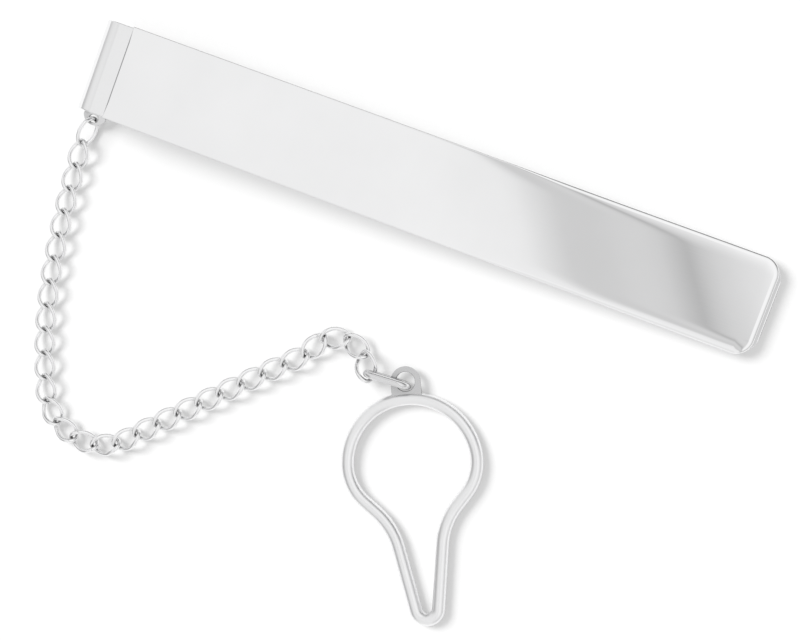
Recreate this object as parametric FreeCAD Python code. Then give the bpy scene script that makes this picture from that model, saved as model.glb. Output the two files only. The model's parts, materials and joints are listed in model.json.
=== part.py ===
import FreeCAD, Part

import math
import os

from FreeCAD import Placement, Rotation, Vector

# A tie clip: a polished front plate on a folded spring strip, with a fine curb
# chain from a lug on the fold to a wire loop that goes over a shirt button.
# Millimetres. The clip lies on its back: the tongue of the strip rests on Z = 0,
# +X runs along the bar to its free end, and +Z comes out of the front plate.
# The origin is under the middle of the bar.

# Bar
BAR_LENGTH = 59.86
PLATE_WIDTH = 8.0
PLATE_THICKNESS = 0.8
PLATE_CORNER_RADIUS = 1.4
PLATE_EDGE_RADIUS = 0.22
STRIP_WIDTH = 7.9
STRIP_THICKNESS = 0.5
FOLD_RADIUS = 1.7
LIP_LENGTH = 1.5
FLANGE_LENGTH = 6.0
TONGUE_OVERHANG = 0.36
TONGUE_CORNER_RADIUS = 1.8
CLOSED_GAP = 0.06

# Chain lug, a flat ear with a slot, on the lower edge of the fold
LUG_WIDTH = 2.1
LUG_REACH = 1.0
LUG_STRAIGHT = 0.3
LUG_THICKNESS = 0.2
LUG_HEIGHT = 0.9
LUG_INSET = 1.2
SLOT_LENGTH = 0.9
SLOT_WIDTH = 0.66
SLOT_WALL = 0.1

# Curb chain of twisted oval links in fine wire, after one plain ring at the lug
LINK_WIRE = 0.35
LINK_LENGTH = 2.86
LINK_WIDTH = 1.95
LINK_TWIST = -45.0
LINK_PLAY = 0.1
LINK_STATIONS = 20
LINK_SIDES = 8
LUG_RING_ROLL = -60.0
CHAIN_HEIGHT = 0.66

# How the chain lies: the first heading, then runs of (links, turn of each) in degrees
FIRST_HEADING = -98.6
LAY_COUNT_AND_TURN = [(1, 11.3), (5, 1.5), (5, 3.0), (5, 22.3), (8, -0.3), (1, 18.5), (3, -41.5)]

# How steeply the last links climb to the end ring, in degrees
CLIMB_TO_RING = [5.0, 9.0]

# Sides of the outline of the heavier wires
WIRE_SIDES = 12

# End ring, a heavier upright oval between the chain and the loop
RING_WIRE = 0.6
RING_LENGTH = 4.2
RING_HEIGHT = 2.1
RING_PLAY = 0.08
RING_HOOK_PLAY = 0.2
RING_TURN = 66.1

# Button loop, a keyhole of round wire, with a flat eye soldered to its head
LOOP_WIRE = 1.1
LOOP_HEAD_RADIUS = 5.45
LOOP_SHOULDER_RADIUS = 4.1
LOOP_NECK_RADIUS = 5.8
LOOP_TIP_RADIUS = 0.97
LOOP_LENGTH = 11.72
LOOP_HEAD_ANGLE = 97.8
LOOP_SHOULDER_ANGLE = 43.6
LOOP_LEG_ANGLE = 9.7
LOOP_TURN = -67.4
EYE_RADIUS = 1.25
EYE_HOLE_RADIUS = 0.8
EYE_THICKNESS = 0.28
EYE_STANDOFF = 1.42
EYE_LIFT = 0.06
EYE_OFFSET = 0.25
EYE_REST_ANGLE = 27.0

UP = Vector(0, 0, 1)
ACROSS = Vector(0, 1, 0)
ALONG = Vector(1, 0, 0)

FOLD_X = FOLD_RADIUS - BAR_LENGTH / 2
TONGUE_END = BAR_LENGTH / 2
PLATE_END = TONGUE_END - TONGUE_OVERHANG
LINK_REACH = (LINK_LENGTH - LINK_WIRE) / 2
RING_REACH = (RING_LENGTH - RING_WIRE) / 2


def plate_slope():
    """Angle in radians at which the plate falls from the fold to close on the tongue."""
    run = PLATE_END - FOLD_X
    rise = STRIP_THICKNESS + CLOSED_GAP - FOLD_RADIUS
    return math.asin(FOLD_RADIUS / math.hypot(run, rise)) - math.atan2(rise, run)


SLOPE = plate_slope()
FALL = Vector(math.cos(SLOPE), 0, -math.sin(SLOPE))
FACE = Vector(math.sin(SLOPE), 0, math.cos(SLOPE))
FOLD_CENTRE = Vector(FOLD_X, 0, FOLD_RADIUS)
FOLD_TOP = FOLD_CENTRE + FACE * FOLD_RADIUS
SEAM = FOLD_TOP + FALL * LIP_LENGTH
PLATE_LENGTH = (PLATE_END - SEAM.x) / math.cos(SLOPE)


def edges_at(shape, wanted):
    """The edges of a shape whose middle and direction pass a test."""
    found = []
    for edge in shape.Edges:
        start, end = edge.firstVertex().Point, edge.lastVertex().Point
        if wanted((start + end) * 0.5, end - start):
            found.append(edge)
    return found


def front_plate():
    """The polished bar, with rounded corners at its free end and softened top edges."""
    half = PLATE_WIDTH / 2
    plate = Part.makeBox(PLATE_LENGTH, PLATE_WIDTH, PLATE_THICKNESS, Vector(0, -half, 0))
    corners = edges_at(
        plate,
        lambda middle, way: middle.x > PLATE_LENGTH / 2 and abs(way.z) > PLATE_THICKNESS / 2,
    )
    plate = plate.makeFillet(PLATE_CORNER_RADIUS, corners)
    rim = edges_at(plate, lambda middle, way: middle.z > PLATE_THICKNESS - PLATE_EDGE_RADIUS)
    plate = plate.makeFillet(PLATE_EDGE_RADIUS, rim)
    plate.Placement = Placement(SEAM, Rotation(ACROSS, math.degrees(SLOPE)))
    return plate


def spring_strip():
    """One bent strip: a flange under the plate, the fold, and the tongue behind the tie."""
    inner_radius = FOLD_RADIUS - STRIP_THICKNESS
    flange_end = FOLD_TOP + FALL * (LIP_LENGTH + FLANGE_LENGTH)
    flange_under = flange_end - FACE * STRIP_THICKNESS
    inner_top = FOLD_CENTRE + FACE * inner_radius
    tongue_lift = UP * STRIP_THICKNESS
    fold_bottom = Vector(FOLD_X, 0, 0)
    tongue_end = Vector(TONGUE_END, 0, 0)
    outside = Part.Arc(fold_bottom, FOLD_CENTRE - ALONG * FOLD_RADIUS, FOLD_TOP)
    inside = Part.Arc(inner_top, FOLD_CENTRE - ALONG * inner_radius, fold_bottom + tongue_lift)
    outline = [
        Part.makeLine(tongue_end, fold_bottom),
        outside.toShape(),
        Part.makeLine(FOLD_TOP, flange_end),
        Part.makeLine(flange_end, flange_under),
        Part.makeLine(flange_under, inner_top),
        inside.toShape(),
        Part.makeLine(fold_bottom + tongue_lift, tongue_end + tongue_lift),
        Part.makeLine(tongue_end + tongue_lift, tongue_end),
    ]
    profile = Part.Face(Part.Wire(outline))
    profile.translate(ACROSS * (-STRIP_WIDTH / 2))
    strip = profile.extrude(ACROSS * STRIP_WIDTH)
    corners = edges_at(
        strip,
        lambda middle, way: middle.x > PLATE_END and abs(way.z) > STRIP_THICKNESS / 2,
    )
    return strip.makeFillet(TONGUE_CORNER_RADIUS, corners)


def lug_place():
    """The middle of the lug's root, on the lower edge of the fold."""
    return Vector(LUG_INSET - BAR_LENGTH / 2, -STRIP_WIDTH / 2, LUG_HEIGHT)


def chain_lug():
    """A flat ear with a rounded end and a slot for the first ring."""
    half = LUG_WIDTH / 2
    root = lug_place() - UP * (LUG_THICKNESS / 2)
    left, right = root - ALONG * half, root + ALONG * half
    side = ACROSS * -LUG_STRAIGHT
    tip = root - ACROSS * LUG_REACH
    outline = [
        Part.makeLine(left, right),
        Part.makeLine(right, right + side),
        Part.Arc(right + side, tip, left + side).toShape(),
        Part.makeLine(left + side, left),
    ]
    ear = Part.Face(Part.Wire(outline)).extrude(UP * LUG_THICKNESS)
    slot_radius = SLOT_WIDTH / 2
    slot_run = SLOT_LENGTH - SLOT_WIDTH
    middle = root - ACROSS * (SLOT_WALL + slot_radius)
    slot = Part.makeBox(
        slot_run, SLOT_WIDTH, LUG_THICKNESS, middle - ALONG * (slot_run / 2) - ACROSS * slot_radius
    )
    for end in (-1, 1):
        slot = slot.fuse(
            Part.makeCylinder(slot_radius, LUG_THICKNESS, middle + ALONG * (end * slot_run / 2))
        )
    return ear.cut(slot).removeSplitter()


def wire_outline(centre, side, rise, diameter, sides):
    """Outline of round wire, as a polygon in the plane of two unit directions."""
    points = []
    for corner in range(sides + 1):
        turn = 2 * math.pi * corner / sides
        points.append(centre + (side * math.cos(turn) + rise * math.sin(turn)) * (diameter / 2))
    return Part.makePolygon(points)


def link_section(angle, half_length, half_width, twist):
    """Outline of the wire at one angle round an oval that twists about its long axis."""
    across = half_width * math.sin(angle)
    roll = twist * math.cos(angle)
    roll_rate = -twist * math.sin(angle)
    across_rate = half_width * math.cos(angle)
    flat = Vector(0, math.cos(roll), math.sin(roll))
    normal = Vector(0, -math.sin(roll), math.cos(roll))
    centre = ALONG * (half_length * math.cos(angle)) + flat * across
    tangent = ALONG * (-half_length * math.sin(angle)) + flat * across_rate
    tangent = tangent + normal * (across * roll_rate)
    side = tangent.cross(normal).normalize()
    rise = side.cross(tangent).normalize()
    return wire_outline(centre, side, rise, LINK_WIRE, LINK_SIDES)


def oval_link(length, width, twist):
    """A closed oval of fine wire, centred on the origin with its long axis on X."""
    half_length = (length - LINK_WIRE) / 2
    half_width = (width - LINK_WIRE) / 2
    sections = []
    for station in range(LINK_STATIONS + 1):
        angle = 2 * math.pi * station / LINK_STATIONS
        sections.append(link_section(angle, half_length, half_width, math.radians(twist)))
    shell = Part.makeShell(Part.makeLoft(sections, False, True).Faces)
    shell.sewShape()
    return Part.makeSolid(shell)


def heading_rotation(heading, dip=0.0, roll=0.0):
    """Turns the X axis to a heading, dips it, and rolls about it, in degrees."""
    turn = Rotation(UP, heading)
    turn = turn.multiply(Rotation(ACROSS, dip))
    return turn.multiply(Rotation(ALONG, roll))


class Seat:
    """Where one link of the chain lies: the middle of the wire at its start, and its turn."""

    def __init__(self, start, heading, reach, dip=0.0, roll=0.0):
        self.heading = heading
        self.rotation = heading_rotation(heading, dip, roll)
        self.way = self.rotation.multVec(ALONG)
        self.start = start
        self.middle = start + self.way * reach
        self.end = start + self.way * (2 * reach)

    def placement(self):
        return Placement(self.middle, self.rotation)


def chain_seats():
    """The seats of the lug ring and of every curb link. The last ones climb to the end ring."""
    hook = lug_place() - ACROSS * (SLOT_WALL + SLOT_WIDTH / 2)
    seats = [Seat(hook, FIRST_HEADING, LINK_REACH, roll=LUG_RING_ROLL)]
    turns = [turn for count, turn in LAY_COUNT_AND_TURN for _ in range(count)]
    dips = [0.0] * len(turns)
    dips[0] = math.degrees(math.asin((LUG_HEIGHT - CHAIN_HEIGHT) / (2 * LINK_REACH)))
    dips[-len(CLIMB_TO_RING):] = [-climb for climb in CLIMB_TO_RING]
    for turn, dip in zip(turns, dips):
        before = seats[-1]
        heading = before.heading + turn
        way = heading_rotation(heading, dip).multVec(ALONG)
        between = (before.way + way).normalize()
        start = before.end - between * (LINK_WIRE + LINK_PLAY)
        seats.append(Seat(start, heading, LINK_REACH, dip))
    return seats


def ring_seat(last):
    """The end ring stands on its edge, with its first end in the last link."""
    hook = last.end - last.way * (LINK_WIRE / 2 + RING_WIRE / 2 + RING_HOOK_PLAY)
    hook.z = RING_HEIGHT / 2
    return Seat(hook, last.heading + RING_TURN, RING_REACH, roll=90.0)


def loop_seat(ring):
    """The loop's eye lies round the far end of the ring, which rests in its hole."""
    heading = ring.heading + LOOP_TURN
    rest = direction(heading + EYE_REST_ANGLE)
    eye = ring.end - rest * (EYE_HOLE_RADIUS - RING_WIRE / 2 - RING_PLAY)
    return Seat(eye, heading, EYE_STANDOFF / 2)


def path_edge(points):
    """A line through two points or an arc through three."""
    if len(points) == 2:
        return Part.makeLine(points[0], points[1])
    return Part.Arc(points[0], points[1], points[2]).toShape()


def round_wire(path, start, way, diameter):
    """Round wire along a closed flat path that starts at a point in a direction."""
    section = wire_outline(start, way.cross(UP), UP, diameter, WIRE_SIDES)
    return Part.Wire(path).makePipeShell([section], True, False)


def end_ring():
    """An oval ring of two straight sides and two half circles."""
    radius = (RING_HEIGHT - RING_WIRE) / 2
    straight = RING_REACH - radius
    near_top = Vector(-straight, radius, 0)
    near_bottom = Vector(-straight, -radius, 0)
    far_top = Vector(straight, radius, 0)
    far_bottom = Vector(straight, -radius, 0)
    path = [
        path_edge((far_top, near_top)),
        path_edge((near_top, ALONG * -RING_REACH, near_bottom)),
        path_edge((near_bottom, far_bottom)),
        path_edge((far_bottom, ALONG * RING_REACH, far_top)),
    ]
    return round_wire(path, far_top, -ALONG, RING_WIRE)


def fillet_points(corner, way_in, way_out, radius):
    """Start, middle and end of an arc that rounds a corner between two directions."""
    half_turn = way_in.getAngle(way_out) / 2
    start = corner - way_in * (radius * math.tan(half_turn))
    end = corner + way_out * (radius * math.tan(half_turn))
    inward = (way_out - way_in).normalize()
    middle = corner + inward * (radius / math.cos(half_turn) - radius)
    return start, middle, end


def direction(angle):
    """A direction in the XY plane, from an angle in degrees."""
    return Vector(math.cos(math.radians(angle)), math.sin(math.radians(angle)), 0)


def loop_outline():
    """One side of the keyhole as points, from the head round the neck to the tip.

    The head's centre is at the origin and the tip is on +X. Pairs are straight runs
    and triples are arcs: head, shoulder, run, neck, run, tip.
    """
    leg_way = direction(-LOOP_LEG_ANGLE)
    leg_normal = direction(90 - LOOP_LEG_ANGLE)
    run_way = direction(-LOOP_SHOULDER_ANGLE)
    run_normal = direction(90 - LOOP_SHOULDER_ANGLE)
    head_end = direction(LOOP_HEAD_ANGLE) * LOOP_HEAD_RADIUS
    shoulder_centre = direction(LOOP_HEAD_ANGLE) * (LOOP_HEAD_RADIUS - LOOP_SHOULDER_RADIUS)
    shoulder_middle_way = direction((LOOP_HEAD_ANGLE + 90 - LOOP_SHOULDER_ANGLE) / 2)
    shoulder_end = shoulder_centre + run_normal * LOOP_SHOULDER_RADIUS
    tip_centre = ALONG * LOOP_LENGTH
    leg_end = tip_centre + leg_normal * LOOP_TIP_RADIUS
    run_to_leg = (leg_end - shoulder_end).dot(leg_normal) / run_way.dot(leg_normal)
    neck_corner = shoulder_end + run_way * run_to_leg
    run_end, neck_middle, leg_start = fillet_points(
        neck_corner, run_way, leg_way, LOOP_NECK_RADIUS
    )
    return [
        (
            direction(180) * LOOP_HEAD_RADIUS,
            direction((180 + LOOP_HEAD_ANGLE) / 2) * LOOP_HEAD_RADIUS,
            head_end,
        ),
        (
            head_end,
            shoulder_centre + shoulder_middle_way * LOOP_SHOULDER_RADIUS,
            shoulder_end,
        ),
        (shoulder_end, run_end),
        (run_end, neck_middle, leg_start),
        (leg_start, leg_end),
        (
            leg_end,
            tip_centre + direction((90 - LOOP_LEG_ANGLE) / 2) * LOOP_TIP_RADIUS,
            tip_centre + ALONG * LOOP_TIP_RADIUS,
        ),
    ]


def button_loop():
    """The keyhole of round wire, with its head's centre on the Z axis."""
    one_side = loop_outline()
    other_side = []
    for points in reversed(one_side):
        other_side.append([Vector(p.x, -p.y, p.z) for p in reversed(points)])
    path = [path_edge(points) for points in one_side + other_side]
    loop = round_wire(path, one_side[0][0], ACROSS, LOOP_WIRE)
    loop.translate(Vector(EYE_STANDOFF + LOOP_HEAD_RADIUS, -EYE_OFFSET, LOOP_WIRE / 2))
    return loop


def loop_eye(loop):
    """A flat eye on the head of the loop, just above the lower side of the ring."""
    under = UP * (RING_WIRE + EYE_LIFT)
    eye = Part.makeCylinder(EYE_RADIUS, EYE_THICKNESS, under)
    root = Part.makeBox(
        EYE_STANDOFF, 2 * EYE_RADIUS, EYE_THICKNESS, under - ACROSS * EYE_RADIUS
    )
    hole = Part.makeCylinder(EYE_HOLE_RADIUS, EYE_THICKNESS, under)
    eye = eye.fuse(root).cut(hole).removeSplitter()
    return max(eye.cut(loop).Solids, key=lambda solid: solid.Volume)


def placed(shape, placement):
    """A copy of a shape, moved to its place."""
    copy = shape.copy()
    copy.Placement = placement.multiply(copy.Placement)
    return copy


def build():
    """Every piece of the tie clip by its name."""
    pieces = {
        "front_plate": front_plate(),
        "spring_strip": spring_strip(),
        "chain_lug": chain_lug(),
    }
    seats = chain_seats()
    plain = oval_link(LINK_LENGTH, LINK_WIDTH, 0.0)
    pieces["lug_ring"] = placed(plain, seats[0].placement())
    curb = oval_link(LINK_LENGTH, LINK_WIDTH, LINK_TWIST)
    for number, seat in enumerate(seats[1:], 1):
        pieces[f"chain_link_{number:02d}"] = placed(curb, seat.placement())
    ring = ring_seat(seats[-1])
    pieces["end_ring"] = placed(end_ring(), ring.placement())
    loop_at = loop_seat(ring)
    on_table = Placement(Vector(loop_at.start.x, loop_at.start.y, 0), loop_at.rotation)
    loop = button_loop()
    pieces["button_loop"] = placed(loop, on_table)
    pieces["loop_eye"] = placed(loop_eye(loop), on_table)
    return pieces


os.makedirs("parts", exist_ok=True)
for name, shape in build().items():
    shape.exportStep(f"parts/{name}.step")
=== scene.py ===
import json
import math

import bpy
import numpy as np
from mathutils import Matrix, Vector

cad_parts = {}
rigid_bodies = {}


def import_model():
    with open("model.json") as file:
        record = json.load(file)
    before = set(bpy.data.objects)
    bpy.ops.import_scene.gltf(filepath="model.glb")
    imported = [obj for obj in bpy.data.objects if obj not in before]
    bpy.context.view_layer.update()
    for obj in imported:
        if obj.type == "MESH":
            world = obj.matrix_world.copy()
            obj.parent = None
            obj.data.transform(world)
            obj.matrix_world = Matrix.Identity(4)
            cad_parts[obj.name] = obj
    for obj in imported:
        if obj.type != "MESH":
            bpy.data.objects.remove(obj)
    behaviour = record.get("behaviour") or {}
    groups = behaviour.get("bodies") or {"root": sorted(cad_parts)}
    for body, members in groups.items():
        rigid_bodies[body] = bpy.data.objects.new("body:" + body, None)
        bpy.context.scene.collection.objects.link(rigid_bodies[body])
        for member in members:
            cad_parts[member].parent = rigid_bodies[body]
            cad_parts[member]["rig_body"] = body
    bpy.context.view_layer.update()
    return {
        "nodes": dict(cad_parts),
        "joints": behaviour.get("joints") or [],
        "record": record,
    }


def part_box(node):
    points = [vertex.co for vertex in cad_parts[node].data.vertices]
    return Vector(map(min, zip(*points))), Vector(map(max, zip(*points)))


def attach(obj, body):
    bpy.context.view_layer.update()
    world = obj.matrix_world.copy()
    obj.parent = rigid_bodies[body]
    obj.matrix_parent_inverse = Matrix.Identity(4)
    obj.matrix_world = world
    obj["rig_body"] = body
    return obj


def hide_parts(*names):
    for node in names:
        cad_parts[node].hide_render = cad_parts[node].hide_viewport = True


# A polished tie clip with its chain and button loop, on a white table under soft light.
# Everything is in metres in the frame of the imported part. Sizes that the frame doesn't
# give are written in millimetres and turned into metres by MM, apart from the camera's
# lens and sensor, which stay in millimetres. Angles are in degrees.

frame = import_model()

MM = 0.001
UP = Vector((0, 0, 1))
ALONG = Vector((1, 0, 0))
ACROSS = Vector((0, 1, 0))

# Front plate, whose rim and face grow rounder towards its free end
PLATE_CORNER_RADIUS = 1.4 * MM
PLATE_STEP = 1.2 * MM
PLATE_CRISP_RIM = 0.08 * MM
PLATE_ROUND_RIM = 0.25 * MM
PLATE_END_RIM = 0.34 * MM
PLATE_RIM_START = 33.5 * MM
PLATE_RIM_RUN = 5.0 * MM
PLATE_RIM_LEAN = 50
PLATE_RIM_STEP = 10
PLATE_BACK_RIM = 0.08 * MM
PLATE_BACK_STEP = 30
PLATE_SEAM_LEAN = 0.07
PLATE_SHARP_ANGLE = 35

# Crown of the plate along its edges: how wide it is, and how steep at the edge itself.
# The slopes of the two long edges are given as (distance from the fold, slope).
CROWN_WIDTH = 1.3 * MM
CROWN_POWER = 2
CROWN_STEPS = 12
CROWN_FLAT_RING = 0.05 * MM
CROWN_UPPER_SLOPES = [
    (28 * MM, 0),
    (36 * MM, 0.06),
    (42 * MM, 0.105),
    (46 * MM, 0.1),
    (50 * MM, 0.06),
]
CROWN_LOWER_SLOPES = [
    (30 * MM, 0),
    (43 * MM, 0.052),
    (47 * MM, 0.118),
    (52 * MM, 0.213),
    (55 * MM, 0.24),
]
CROWN_END_SLOPE = 0.012

# Spring strip
STRIP_THICKNESS = 0.5 * MM
STRIP_EDGE_RADIUS = 0.1 * MM
STRIP_EDGE_STEPS = 4
FLANGE_LENGTH = 6.0 * MM
TONGUE_CORNER_RADIUS = 1.8 * MM
TONGUE_CORNER_STEP = 10

# Chain lug
LUG_STRAIGHT = 0.3 * MM
LUG_SLOT_LENGTH = 0.9 * MM
LUG_SLOT_WIDTH = 0.66 * MM
LUG_SLOT_WALL = 0.1 * MM

# Chain
LINK_TWIST = -45
LINK_STATIONS = 72

# Button loop and its eye
LOOP_SHOULDER_RADIUS = 4.1 * MM
LOOP_NECK_RADIUS = 5.8 * MM
LOOP_TIP_RADIUS = 0.97 * MM
LOOP_HEAD_ANGLE = 97.8
LOOP_SHOULDER_ANGLE = 43.6
LOOP_LEG_ANGLE = 9.7
EYE_HOLE_RADIUS = 0.8 * MM

# Softened edges of the small flat pieces
FLAT_EDGE_RADIUS = 0.04 * MM
FLAT_EDGE_STEPS = 3
FLAT_FACE_WEIGHT = 100

# Fineness of the round stretches, and digits that tell two places apart
ARC_STEP = 4.0
WIRE_SIDES = 20
PLACE_DIGITS = 7

# Metals: tints, then the wear they share as ranges of noise and the painted shade near other metal as a
# range of openness, with what these become
SILVER = (0.93, 0.93, 0.935)
WORN_SILVER = (0.9, 0.9, 0.905)
DULL_SILVER = (0.78, 0.78, 0.785)
DARK_SILVER = (0.62, 0.62, 0.625)
# Painted shade for the seam where the plate meets the fold
SEAM_PAINTED_SHADE = (0.4, 0.4, 0.405)
SCRATCH_DETAIL = 6.0
SCRATCH_DEPTH = 0.02 * MM
SMUDGE_DETAIL = 3.0
WEAR_RANGE = (0.1, 0.45)
SMUDGE_RANGE = (0.3, 0.7)
SMUDGE_SHADES = (0.97, 1.0)
OPEN_RANGE = (0.25, 0.85)
OPEN_SHADES = (0.2, 1.0)
OPEN_SAMPLES = 8

# Table
TABLE_HALF_WIDTH = 1000 * MM
TABLE_GLOW = 0.37
TABLE_COLOUR = (0.36, 0.36, 0.36)

# What surrounds the clip, by a direction's X plus a share of its Y: (sum, brightness)
SURROUND_SHARE_OF_Y = 0.7
SURROUND_REACH = 1.25
SURROUND = [
    (-1.22, 0.3),
    (-1.1, 0.4),
    (-1.0, 0.6),
    (-0.9, 0.84),
    (-0.7, 0.88),
    (-0.45, 0.84),
    (-0.35, 0.91),
    (-0.12, 0.935),
    (-0.052, 0.89),
    (-0.034, 0.76),
    (-0.018, 0.655),
    (0.006, 0.66),
    (0.026, 0.7),
    (0.046, 0.69),
    (0.069, 0.5),
    (0.082, 0.67),
    (0.106, 0.78),
    (0.17, 1.0),
    (0.7, 1.0),
    (1.0, 0.92),
    (1.22, 0.72),
]

# Greyer sides of the surround: brightness, and where a direction's X, Y or Z fades into it
GREY_LOW_RIGHT = 0.55
GREY_LOW_BEHIND = 0.1
GREY_FRONT_LEFT = 0.45
LOW_FROM_Z = (0.7, 0.1)
RIGHT_FROM_X = (0.35, 0.7)
LEFT_FROM_X = (-0.4, -0.7)
BEHIND_FROM_Y = (0.4, 0.75)
FRONT_FROM_Y = (-0.15, -0.4)

# Light
KEY_HEADING = 170.0
KEY_HEIGHT = 45.0
KEY_WIDTH = 32.5
KEY_POWER = 4.83

# Camera
CAMERA_PLACE = Vector((28.68, -1.56, 125.42)) * MM
CAMERA_TARGET = Vector((2.36, -11.07, 0.0)) * MM
CAMERA_UP_HEADING = 110.8
CAMERA_LENS = 70.0
CAMERA_SENSOR = 36.0
CAMERA_NEAR = 1 * MM
CAMERA_FAR = 10000 * MM


# Reading the frame

def node_points(node):
    """The places of a node's vertices, each once."""
    places = [vertex.co[:] for vertex in frame["nodes"][node].data.vertices]
    return np.unique(np.round(places, PLACE_DIGITS), axis=0)


def turn_from(long, middle):
    """A turn whose X and Y axes point in two square directions."""
    return Matrix((long, middle, long.cross(middle))).transposed()


def spread_turn(node):
    """A turn whose X, Y and Z follow a node's longest, middle and shortest spread."""
    ways = np.linalg.eigh(np.cov(node_points(node).T))[1]
    return turn_from(Vector(ways[:, 2]), Vector(ways[:, 1]))


def box_in(node, turn):
    """A node's lowest and highest corners along the axes of a turn."""
    places = node_points(node) @ np.array(turn)
    return Vector(places.min(axis=0)), Vector(places.max(axis=0))


def place_of(name, entries):
    """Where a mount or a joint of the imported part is."""
    for entry in entries:
        if entry["name"] == name:
            return Vector(entry["pos_m"])


def plate_turn():
    """The plate's own axes: along it, across it and out of its polished face."""
    faces = frame["nodes"]["front_plate"].data.polygons
    upper = [face for face in faces if face.normal.z > 0]
    out = max(upper, key=lambda face: face.area).normal.copy()
    return turn_from(ACROSS.cross(out).normalized(), ACROSS)


# Making meshes and pieces

def blended(before, after, share):
    """A value between two others."""
    return before + (after - before) * share


def direction(angle):
    """A direction in the XY plane."""
    return Vector((math.cos(math.radians(angle)), math.sin(math.radians(angle)), 0))


def arc(centre, radius, start, end):
    """Points along an arc in the XY plane, between two angles."""
    steps = max(2, round(abs(end - start) / ARC_STEP))
    return [centre + direction(start + (end - start) * i / steps) * radius for i in range(steps + 1)]


def placed(turn, origin):
    """A placement from a turn and the place of the origin."""
    return Matrix.Translation(origin) @ turn.to_4x4()


def mesh_from(name, vertices, faces):
    """A smooth-shaded mesh."""
    mesh = bpy.data.meshes.new(name)
    mesh.from_pydata([tuple(vertex) for vertex in vertices], [], faces)
    mesh.shade_smooth()
    mesh.update()
    return mesh


def strips_between(rings, size, closed):
    """Faces between rings of equally many vertices, the last joined to the first if closed."""
    faces = []
    for ring in range(rings if closed else rings - 1):
        following = (ring + 1) % rings
        for corner in range(size):
            beside = (corner + 1) % size
            faces.append(
                (
                    ring * size + corner,
                    ring * size + beside,
                    following * size + beside,
                    following * size + corner,
                )
            )
    return faces


def capped_strips(rings, size):
    """Faces between rings, with a face over the first ring and one over the last."""
    faces = strips_between(rings, size, closed=False)
    faces.append(tuple(reversed(range(size))))
    faces.append(tuple(range((rings - 1) * size, rings * size)))
    return faces


def wire_mesh(name, centres, normals, radius):
    """Round wire along a closed line, with the normal of its flat at each point."""
    vertices = []
    for i, centre in enumerate(centres):
        following = centres[(i + 1) % len(centres)]
        tangent = (following - centres[i - 1]).normalized()
        side = tangent.cross(normals[i]).normalized()
        rise = side.cross(tangent)
        for corner in range(WIRE_SIDES):
            turn = 2 * math.pi * corner / WIRE_SIDES
            vertices.append(centre + (side * math.cos(turn) + rise * math.sin(turn)) * radius)
    return mesh_from(name, vertices, strips_between(len(centres), WIRE_SIDES, closed=True))


def flat_mesh(name, outlines, thickness):
    """A flat piece with softened edges: its outline, then its holes, in the XY plane."""
    curve = bpy.data.curves.new(name, "CURVE")
    curve.dimensions = "2D"
    curve.fill_mode = "BOTH"
    curve.extrude = thickness / 2 - FLAT_EDGE_RADIUS
    curve.bevel_depth = FLAT_EDGE_RADIUS
    curve.bevel_resolution = FLAT_EDGE_STEPS
    curve.offset = -FLAT_EDGE_RADIUS
    for points in outlines:
        spline = curve.splines.new("POLY")
        spline.points.add(len(points) - 1)
        for place, point in zip(spline.points, points):
            place.co = (point.x, point.y, 0, 1)
        spline.use_cyclic_u = True
    maker = bpy.data.objects.new(name, curve)
    mesh = bpy.data.meshes.new_from_object(maker)
    bpy.data.objects.remove(maker)
    mesh.name = name
    mesh.shade_smooth()
    return mesh


def in_scene(name, data):
    """A new object in the scene."""
    made = bpy.data.objects.new(name, data)
    bpy.context.scene.collection.objects.link(made)
    return made


def piece(name, mesh, material, node, place=Matrix.Identity(4)):
    """A new piece that stands for a node, on the node's body."""
    made = in_scene(name, mesh)
    made.matrix_world = place
    if not mesh.materials:
        mesh.materials.append(material)
    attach(made, frame["nodes"][node]["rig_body"])
    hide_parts(node)
    return made


def weigh_normals(made):
    """Keeps the flat faces of a piece flat beside its rounded edges."""
    modifier = made.modifiers.new("flat faces", "WEIGHTED_NORMAL")
    modifier.weight = FLAT_FACE_WEIGHT


# Materials

class Nodes:
    """Short calls for adding and linking the nodes of one material or world."""

    def __init__(self, tree):
        self.tree = tree
        tree.nodes.clear()

    def add(self, kind, settings=None, **inputs):
        """A new node. An input's name has low lines for spaces, or is a low line and its number."""
        node = self.tree.nodes.new(kind)
        for name, value in (settings or {}).items():
            setattr(node, name, value)
        for name, value in inputs.items():
            numbered = name[1:].isdigit()
            socket = node.inputs[int(name[1:]) if numbered else name.replace("_", " ")]
            if isinstance(value, bpy.types.NodeSocket):
                self.tree.links.new(value, socket)
            else:
                socket.default_value = value
        return node

    def math(self, operation, *values):
        """The result of arithmetic on two or three values."""
        inputs = {f"_{place}": value for place, value in enumerate(values)}
        return self.add("ShaderNodeMath", {"operation": operation}, **inputs).outputs["Value"]

    def mapped(self, value, before, after=(0.0, 1.0)):
        """A value carried from one range to another, and held at the ends."""
        node = self.add(
            "ShaderNodeMapRange",
            Value=value,
            From_Min=before[0],
            From_Max=before[1],
            To_Min=after[0],
            To_Max=after[1],
        )
        return node.outputs["Result"]

    def mixed(self, blend, share, first, second):
        """Two colours mixed by a share."""
        settings = {"data_type": "RGBA", "blend_type": blend}
        return self.add("ShaderNodeMix", settings, _0=share, _6=first, _7=second).outputs[2]

    def ramp(self, factor, stops):
        """Greys along a ramp, from pairs of a place and a level."""
        node = self.add("ShaderNodeValToRGB", Fac=factor)
        elements = node.color_ramp.elements
        while len(elements) < len(stops):
            elements.new(1.0)
        for element, (place, level) in zip(elements, stops):
            element.position = place
            element.color = (level, level, level, 1)
        return node.outputs["Color"]


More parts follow.
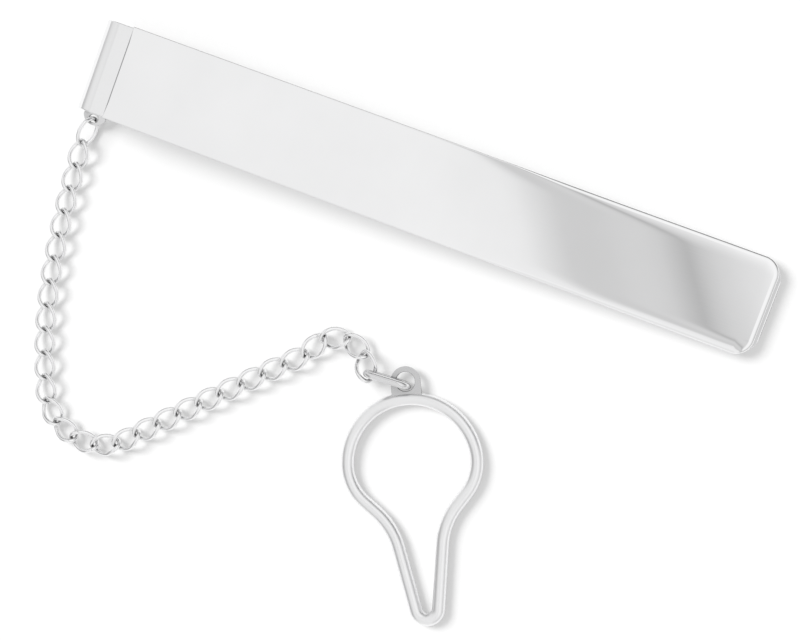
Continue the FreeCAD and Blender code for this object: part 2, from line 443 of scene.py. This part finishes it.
def polished_metal(name, tint, scratch_scale, smudge_scale, roughness, bump, painted_shade_reach=0.0):
    """Polished plated metal with fine scratches, soft smudges and a faint unevenness.

    With a reach, the metal is darkened where other metal is that close: painted shade.
    """
    material = bpy.data.materials.new(name)
    material.use_nodes = True
    nodes = Nodes(material.node_tree)
    place = nodes.add("ShaderNodeTexCoord").outputs["Object"]
    stretched = nodes.add("ShaderNodeMapping", Vector=place, Scale=scratch_scale).outputs["Vector"]
    scratches = nodes.add(
        "ShaderNodeTexNoise", Vector=stretched, Scale=1.0, Detail=SCRATCH_DETAIL
    ).outputs["Fac"]
    smudges = nodes.add(
        "ShaderNodeTexNoise", Vector=place, Scale=smudge_scale, Detail=SMUDGE_DETAIL
    ).outputs["Fac"]
    worn = nodes.math("MULTIPLY", scratches, smudges)
    shade = nodes.mapped(smudges, SMUDGE_RANGE, SMUDGE_SHADES)
    colour = nodes.mixed("MULTIPLY", 1.0, (*tint, 1), shade)
    # Painted shade: the colour darkens where other metal is within the reach.
    if painted_shade_reach:
        open_share = nodes.add(
            "ShaderNodeAmbientOcclusion", {"samples": OPEN_SAMPLES}, Distance=painted_shade_reach
        ).outputs["AO"]
        colour = nodes.mixed("MULTIPLY", 1.0, colour, nodes.mapped(open_share, OPEN_RANGE, OPEN_SHADES))
    relief = nodes.add("ShaderNodeBump", Strength=bump, Distance=SCRATCH_DEPTH, Height=scratches)
    shader = nodes.add(
        "ShaderNodeBsdfPrincipled",
        Base_Color=colour,
        Metallic=1.0,
        Roughness=nodes.mapped(worn, WEAR_RANGE, roughness),
        Normal=relief.outputs["Normal"],
    )
    nodes.add("ShaderNodeOutputMaterial", Surface=shader.outputs["BSDF"])
    return material


PLATE_METAL = polished_metal(
    "plate_polish",
    SILVER,
    scratch_scale=(300, 9000, 9000),
    smudge_scale=160,
    roughness=(0.015, 0.035),
    bump=0.008,
)
# Dark, rougher metal along the fold's seam: painted shade
SEAM_SHADE_METAL = polished_metal(
    "seam_painted_shade",
    SEAM_PAINTED_SHADE,
    scratch_scale=(900, 6000, 6000),
    smudge_scale=350,
    roughness=(0.25, 0.4),
    bump=0.05,
)
STRIP_METAL = polished_metal(
    "strip_polish",
    WORN_SILVER,
    scratch_scale=(300, 7000, 7000),
    smudge_scale=200,
    roughness=(0.07, 0.14),
    bump=0.03,
)
# Darkened where the links touch one another: painted shade.
CHAIN_METAL = polished_metal(
    "chain_polish",
    SILVER,
    scratch_scale=(2500, 6000, 6000),
    smudge_scale=900,
    roughness=(0.06, 0.14),
    bump=0.03,
    painted_shade_reach=0.5 * MM,
)
LOOP_METAL = polished_metal(
    "loop_polish",
    SILVER,
    scratch_scale=(900, 6000, 6000),
    smudge_scale=350,
    roughness=(0.3, 0.36),
    bump=0.004,
)
# Darkened near other metal, as where it hangs in the lug and the eye: painted shade.
RING_METAL = polished_metal(
    "ring_polish",
    DULL_SILVER,
    scratch_scale=(900, 6000, 6000),
    smudge_scale=350,
    roughness=(0.08, 0.16),
    bump=0.02,
    painted_shade_reach=1.2 * MM,
)
# Darkened where the ring passes through it: painted shade.
EYE_METAL = polished_metal(
    "eye_polish",
    DARK_SILVER,
    scratch_scale=(900, 6000, 6000),
    smudge_scale=350,
    roughness=(0.12, 0.2),
    bump=0.02,
    painted_shade_reach=1.2 * MM,
)


# Front plate

def plate_side(length, width, side, slopes):
    """Points along one long edge and round its corner, from the fold to the free end.

    Each point comes with the way inwards, the width of the rim and the slope of the crown.
    """
    straight = length - PLATE_CORNER_RADIUS
    inwards = ACROSS * -side
    points = []
    steps = round(straight / PLATE_STEP)
    for step in range(steps):
        run = straight * step / steps
        # At the fold the rim is nearly square, and goes along the plate by a share of its inset.
        way = inwards if step else inwards + ALONG * PLATE_SEAM_LEAN
        rounder = min(max((run - PLATE_RIM_START) / PLATE_RIM_RUN, 0), 1)
        rim = blended(PLATE_CRISP_RIM, PLATE_ROUND_RIM, rounder)
        slope = np.interp(run, *zip(*slopes))
        points.append((Vector((run, side * width / 2, 0)), way, rim, slope))
    corner = Vector((straight, side * (width / 2 - PLATE_CORNER_RADIUS), 0))
    steps = round(90 / ARC_STEP)
    for step in range(steps + 1):
        share = step / steps
        way = direction(side * 90 * (1 - share))
        rim = blended(PLATE_ROUND_RIM, PLATE_END_RIM, share)
        slope = blended(slopes[-1][1], CROWN_END_SLOPE, share)
        points.append((corner + way * PLATE_CORNER_RADIUS, -way, rim, slope))
    return points


def plate_profile(thickness, rim, slope):
    """Insets and heights from the plate's back over its rim to the crowned face."""
    profile = [(2 * PLATE_BACK_RIM, 0)]
    for angle in range(0, 91, PLATE_BACK_STEP):
        turn = math.radians(angle)
        profile.append((PLATE_BACK_RIM * (1 - math.sin(turn)), PLATE_BACK_RIM * (1 - math.cos(turn))))
    power = CROWN_POWER + 1
    drop = slope * CROWN_WIDTH / power
    bend = rim / math.sin(math.radians(PLATE_RIM_LEAN))
    for lean in range(PLATE_RIM_LEAN, -1, -PLATE_RIM_STEP):
        turn = math.radians(lean)
        inset = rim - bend * math.sin(turn)
        fall = drop * (1 - inset / CROWN_WIDTH) ** power
        profile.append((inset, thickness - fall - bend * (1 - math.cos(turn))))
    for step in range(1, CROWN_STEPS + 1):
        inset = rim + (CROWN_WIDTH - rim) * step / CROWN_STEPS
        profile.append((inset, thickness - drop * (1 - inset / CROWN_WIDTH) ** power))
    profile.append((CROWN_WIDTH + CROWN_FLAT_RING, thickness))
    return profile


def front_plate():
    """The polished bar, with a dark line of painted shade where it meets the fold."""
    turn = plate_turn()
    low, high = box_in("front_plate", turn)
    length, width, thickness = high - low
    outline = plate_side(length, width, -1, CROWN_LOWER_SLOPES)
    outline += reversed(plate_side(length, width, 1, CROWN_UPPER_SLOPES))
    columns = []
    for place, inwards, rim, slope in outline:
        profile = plate_profile(thickness, rim, slope)
        columns.append([place + inwards * inset + UP * height for inset, height in profile])
    vertices = [point for ring in zip(*columns) for point in ring]
    size = len(columns)
    rings = len(columns[0])
    mesh = mesh_from("plate", vertices, capped_strips(rings, size))
    mesh.materials.append(PLATE_METAL)
    mesh.materials.append(SEAM_SHADE_METAL)
    # The last face of each ring is the one at the fold, which takes the painted seam shade.
    for ring in range(rings - 1):
        mesh.polygons[ring * size + size - 1].material_index = 1
    mesh.set_sharp_from_angle(angle=math.radians(PLATE_SHARP_ANGLE))
    origin = turn @ Vector((low.x, (low.y + high.y) / 2, low.z))
    mesh.transform(placed(turn, origin))
    piece("plate", mesh, PLATE_METAL, "front_plate")


# Spring strip and chain lug

def strip_line(low, high, seam, out):
    """Middle line of the strip from the flange round the fold to the tongue's end.

    Each point comes with the direction across the strip's thickness and with how much
    narrower each side of the strip is there.
    """
    along = Vector((out.z, 0, -out.x))
    half = STRIP_THICKNESS / 2
    line = [(seam + along * FLANGE_LENGTH - out * half, out, 0), (seam - out * half, out, 0)]
    lean = math.degrees(math.atan2(out.x, out.z))
    fold_radius = (high.z - low.z) / 2
    fold_centre = Vector((low.x + fold_radius, 0, fold_radius))
    steps = round((180 + lean) / ARC_STEP)
    for step in range(steps + 1):
        angle = math.radians(lean - (180 + lean) * step / steps)
        away = Vector((math.sin(angle), 0, math.cos(angle)))
        line.append((fold_centre + away * (fold_radius - half), away, 0))
    for angle in range(0, 91, TONGUE_CORNER_STEP):
        run = TONGUE_CORNER_RADIUS * math.sin(math.radians(angle))
        narrower = TONGUE_CORNER_RADIUS * (1 - math.cos(math.radians(angle)))
        x = high.x - TONGUE_CORNER_RADIUS + run
        line.append((Vector((x, 0, half)), -UP, narrower))
    return line


def strip_section(half_width):
    """Outline of the strip's section, as (across, through the thickness), with round edges."""
    side = half_width - STRIP_EDGE_RADIUS
    rise = STRIP_THICKNESS / 2 - STRIP_EDGE_RADIUS
    points = []
    for quarter, (y, z) in enumerate(((side, rise), (-side, rise), (-side, -rise), (side, -rise))):
        for step in range(STRIP_EDGE_STEPS + 1):
            way = direction(90 * (quarter + step / STRIP_EDGE_STEPS)) * STRIP_EDGE_RADIUS
            points.append((y + way.x, z + way.y))
    return points


def spring_strip():
    """The bent strip: flange, fold and tongue, with rolled edges."""
    low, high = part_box("spring_strip")
    out = plate_turn().col[2]
    line = strip_line(low, high, place_of("clip_open", frame["joints"]), out)
    half_width = (high.y - low.y) / 2
    vertices = []
    for centre, away, narrower in line:
        for across, through in strip_section(half_width - narrower):
            vertices.append(centre + ACROSS * across + away * through)
    size = len(strip_section(half_width))
    mesh = mesh_from("strip", vertices, capped_strips(len(line), size))
    weigh_normals(piece("strip", mesh, STRIP_METAL, "spring_strip"))


def chain_lug():
    """The flat ear under the fold, with its slot."""
    low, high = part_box("chain_lug")
    middle = (low + high) / 2
    root = Vector((middle.x, high.y, 0))
    half = (high.x - low.x) / 2
    reach = high.y - low.y - LUG_STRAIGHT
    bulge = (half**2 + reach**2) / (2 * reach)
    spread = math.degrees(math.asin(half / bulge))
    arc_centre = root - ACROSS * (LUG_STRAIGHT + reach - bulge)
    outline = [root - ALONG * half]
    outline += arc(arc_centre, bulge, -90 - spread, -90 + spread)
    outline.append(root + ALONG * half)
    slot_radius = LUG_SLOT_WIDTH / 2
    slot_run = ALONG * ((LUG_SLOT_LENGTH - LUG_SLOT_WIDTH) / 2)
    slot_centre = root - ACROSS * (LUG_SLOT_WALL + slot_radius)
    slot = arc(slot_centre + slot_run, slot_radius, -90, 90)
    slot += arc(slot_centre - slot_run, slot_radius, 90, 270)
    mesh = flat_mesh("lug", [outline, slot], high.z - low.z)
    mesh.transform(Matrix.Translation(UP * middle.z))
    # The lug takes the ring's duller metal, darkened beside the fold and the ring: painted shade under
    # the fold.
    weigh_normals(piece("lug", mesh, RING_METAL, "chain_lug"))


# Chain

def link_mesh(name, half_length, half_width, twist, radius):
    """An oval link that twists about its long axis, by an angle in radians each way."""
    centres = []
    normals = []
    for station in range(LINK_STATIONS):
        angle = 2 * math.pi * station / LINK_STATIONS
        roll = twist * math.cos(angle)
        flat = Vector((0, math.cos(roll), math.sin(roll)))
        centres.append(ALONG * (half_length * math.cos(angle)) + flat * (half_width * math.sin(angle)))
        normals.append(Vector((0, -math.sin(roll), math.cos(roll))))
    return wire_mesh(name, centres, normals, radius)


def chain():
    """The plain ring at the lug and every twisted link after it."""
    low, high = box_in("lug_ring", spread_turn("lug_ring"))
    size = high - low
    wire = size.z
    half_length, half_width = (size.x - wire) / 2, (size.y - wire) / 2
    plain = link_mesh("plain_link", half_length, half_width, 0, wire / 2)
    curb = link_mesh("curb_link", half_length, half_width, math.radians(LINK_TWIST), wire / 2)
    for node in frame["nodes"]:
        if node != "lug_ring" and not node.startswith("chain_link"):
            continue
        turn = spread_turn(node)
        low, high = box_in(node, turn)
        mesh = plain if node == "lug_ring" else curb
        name = node.replace("chain_link", "link").replace("lug_ring", "first_link")
        piece(name, mesh, CHAIN_METAL, node, placed(turn, turn @ ((low + high) / 2)))


def end_ring():
    """The heavier oval ring between the chain and the loop."""
    turn = spread_turn("end_ring")
    low, high = box_in("end_ring", turn)
    length, height, wire = high - low
    radius = (height - wire) / 2
    straight = ALONG * ((length - height) / 2)
    centres = arc(straight, radius, -90, 90) + arc(-straight, radius, 90, 270)
    mesh = wire_mesh("ring", centres, [UP] * len(centres), wire / 2)
    mesh.transform(placed(turn, turn @ ((low + high) / 2)))
    piece("ring", mesh, RING_METAL, "end_ring")


# Button loop

def loop_turn(head):
    """The loop's own axes, with X from the middle of its head to its tip."""
    points = node_points("button_loop")
    far = points[np.argmax(np.linalg.norm(points - np.array(head), axis=1))]
    along = Vector(far) - head
    along.z = 0
    along.normalize()
    return turn_from(along, UP.cross(along))


def loop_line(head_radius, length):
    """The keyhole's middle line, with its head round the origin and its tip on +X."""
    run_way = direction(-LOOP_SHOULDER_ANGLE)
    run_normal = direction(90 - LOOP_SHOULDER_ANGLE)
    leg_normal = direction(90 - LOOP_LEG_ANGLE)
    shoulder_centre = direction(LOOP_HEAD_ANGLE) * (head_radius - LOOP_SHOULDER_RADIUS)
    shoulder_end = shoulder_centre + run_normal * LOOP_SHOULDER_RADIUS
    tip_centre = ALONG * length
    leg_end = tip_centre + leg_normal * LOOP_TIP_RADIUS
    run_to_leg = (leg_end - shoulder_end).dot(leg_normal) / run_way.dot(leg_normal)
    bend = math.radians(LOOP_SHOULDER_ANGLE - LOOP_LEG_ANGLE)
    neck_start = shoulder_end + run_way * (run_to_leg - LOOP_NECK_RADIUS * math.tan(bend / 2))
    neck_centre = neck_start + run_normal * LOOP_NECK_RADIUS
    side = arc(Vector(), head_radius, 180, LOOP_HEAD_ANGLE)
    side += arc(shoulder_centre, LOOP_SHOULDER_RADIUS, LOOP_HEAD_ANGLE, 90 - LOOP_SHOULDER_ANGLE)[1:]
    side += arc(neck_centre, LOOP_NECK_RADIUS, -90 - LOOP_SHOULDER_ANGLE, -90 - LOOP_LEG_ANGLE)
    side += arc(tip_centre, LOOP_TIP_RADIUS, 90 - LOOP_LEG_ANGLE, 0)
    mirrored = [Vector((point.x, -point.y, 0)) for point in reversed(side[1:-1])]
    return side + mirrored


def button_loop(head, turn):
    """The keyhole of round wire."""
    low, high = box_in("button_loop", turn)
    middle = (turn.transposed() @ head).x
    wire = high.z - low.z
    head_radius = middle - low.x - wire / 2
    length = high.x - middle - wire / 2 - LOOP_TIP_RADIUS
    line = loop_line(head_radius, length)
    mesh = wire_mesh("loop", line, [UP] * len(line), wire / 2)
    mesh.transform(placed(turn, head))
    piece("loop", mesh, LOOP_METAL, "button_loop")


def loop_eye(turn):
    """The flat eye on the loop's head, rooted in the middle of the wire."""
    loop_low, loop_high = box_in("button_loop", turn)
    low, high = box_in("loop_eye", turn)
    radius = (high.y - low.y) / 2
    middle = Vector((low.x + radius, (low.y + high.y) / 2, (low.z + high.z) / 2))
    root = ALONG * (loop_low.x + (loop_high.z - loop_low.z) / 2 - middle.x)
    outline = arc(Vector(), radius, 90, 270)
    outline += [root - ACROSS * radius, root + ACROSS * radius]
    hole = arc(Vector(), EYE_HOLE_RADIUS, 0, 360)[:-1]
    mesh = flat_mesh("eye", [outline, hole], high.z - low.z)
    mesh.transform(placed(turn, turn @ middle))
    weigh_normals(piece("eye", mesh, EYE_METAL, "loop_eye"))


# Table, light and camera

def table():
    """A white table that keeps the clip's soft shadow, and is clear from below."""
    half = TABLE_HALF_WIDTH
    corners = [(-half, -half, 0), (half, -half, 0), (half, half, 0), (-half, half, 0)]
    mesh = bpy.data.meshes.new("table")
    mesh.from_pydata(corners, [], [(0, 1, 2, 3)])
    material = bpy.data.materials.new("table_white")
    material.use_nodes = True
    nodes = Nodes(material.node_tree)
    path = nodes.add("ShaderNodeLightPath").outputs
    seen = path["Is Camera Ray"]
    for ray in ("Is Glossy Ray", "Is Transmission Ray"):
        seen = nodes.math("MAXIMUM", seen, path[ray])
    glow = nodes.math("MULTIPLY", seen, TABLE_GLOW)
    own = nodes.add("ShaderNodeEmission", Color=(1, 1, 1, 1), Strength=glow).outputs["Emission"]
    lit = nodes.add("ShaderNodeBsdfDiffuse", Color=(*TABLE_COLOUR, 1)).outputs["BSDF"]
    white = nodes.add("ShaderNodeAddShader", _0=own, _1=lit).outputs["Shader"]
    below = nodes.add("ShaderNodeNewGeometry").outputs["Backfacing"]
    clear = nodes.add("ShaderNodeBsdfTransparent").outputs["BSDF"]
    sided = nodes.add("ShaderNodeMixShader", _0=below, _1=white, _2=clear).outputs["Shader"]
    nodes.add("ShaderNodeOutputMaterial", Surface=sided)
    mesh.materials.append(material)
    in_scene("table", mesh)


def surround():
    """A light studio round the clip, with a grey band overhead and greyer sides, white to the camera."""
    world = bpy.data.worlds.new("studio")
    bpy.context.scene.world = world
    world.use_nodes = True
    nodes = Nodes(world.node_tree)
    way = nodes.add("ShaderNodeTexCoord").outputs["Generated"]
    parts = nodes.add("ShaderNodeSeparateXYZ", Vector=way).outputs
    total = nodes.math("MULTIPLY_ADD", parts["Y"], SURROUND_SHARE_OF_Y, parts["X"])
    stops = [((place + SURROUND_REACH) / (2 * SURROUND_REACH), level) for place, level in SURROUND]
    colour = nodes.ramp(nodes.mapped(total, (-SURROUND_REACH, SURROUND_REACH)), stops)
    low = nodes.mapped(parts["Z"], LOW_FROM_Z)
    right = nodes.mapped(parts["X"], RIGHT_FROM_X)
    left = nodes.mapped(parts["X"], LEFT_FROM_X)
    behind = nodes.mapped(parts["Y"], BEHIND_FROM_Y)
    front = nodes.mapped(parts["Y"], FRONT_FROM_Y)
    greys = [
        (low, right, GREY_LOW_RIGHT),
        (low, behind, GREY_LOW_BEHIND),
        (front, left, GREY_FRONT_LEFT),
    ]
    for one, other, level in greys:
        share = nodes.math("MULTIPLY", one, other)
        colour = nodes.mixed("MIX", share, colour, (level, level, level, 1))
    room = nodes.add("ShaderNodeBackground", Color=colour, Strength=1.0).outputs["Background"]
    white = nodes.add("ShaderNodeBackground", Color=(1, 1, 1, 1), Strength=1.0).outputs["Background"]
    seen = nodes.add("ShaderNodeLightPath").outputs["Is Camera Ray"]
    both = nodes.add("ShaderNodeMixShader", _0=seen, _1=room, _2=white).outputs["Shader"]
    nodes.add("ShaderNodeOutputWorld", Surface=both)


def key_light():
    """One soft light from the upper left, even over the whole table."""
    lamp = bpy.data.lights.new("key", "SUN")
    lamp.angle = math.radians(KEY_WIDTH)
    lamp.energy = KEY_POWER
    made = in_scene("key", lamp)
    flat = math.cos(math.radians(KEY_HEIGHT))
    way = direction(KEY_HEADING) * flat + UP * math.sin(math.radians(KEY_HEIGHT))
    made.visible_glossy = False
    made.rotation_mode = "QUATERNION"
    made.rotation_quaternion = (-way).to_track_quat("-Z", "Y")


def camera():
    """The view of the photograph."""
    lens = bpy.data.cameras.new("camera")
    lens.lens = CAMERA_LENS
    lens.sensor_width = CAMERA_SENSOR
    lens.clip_start = CAMERA_NEAR
    lens.clip_end = CAMERA_FAR
    made = in_scene("camera", lens)
    view = (CAMERA_TARGET - CAMERA_PLACE).normalized()
    right = view.cross(direction(CAMERA_UP_HEADING)).normalized()
    turn = Matrix((right, right.cross(view), -view)).transposed()
    made.matrix_world = placed(turn, CAMERA_PLACE)
    bpy.context.scene.camera = made


loop_head = place_of("button_keyhole", frame["record"]["mounts"])
loop_axes = loop_turn(loop_head)

front_plate()
spring_strip()
chain_lug()
chain()
end_ring()
button_loop(loop_head, loop_axes)
loop_eye(loop_axes)
table()
surround()
key_light()
camera()
bpy.context.scene.view_settings.view_transform = "Standard"
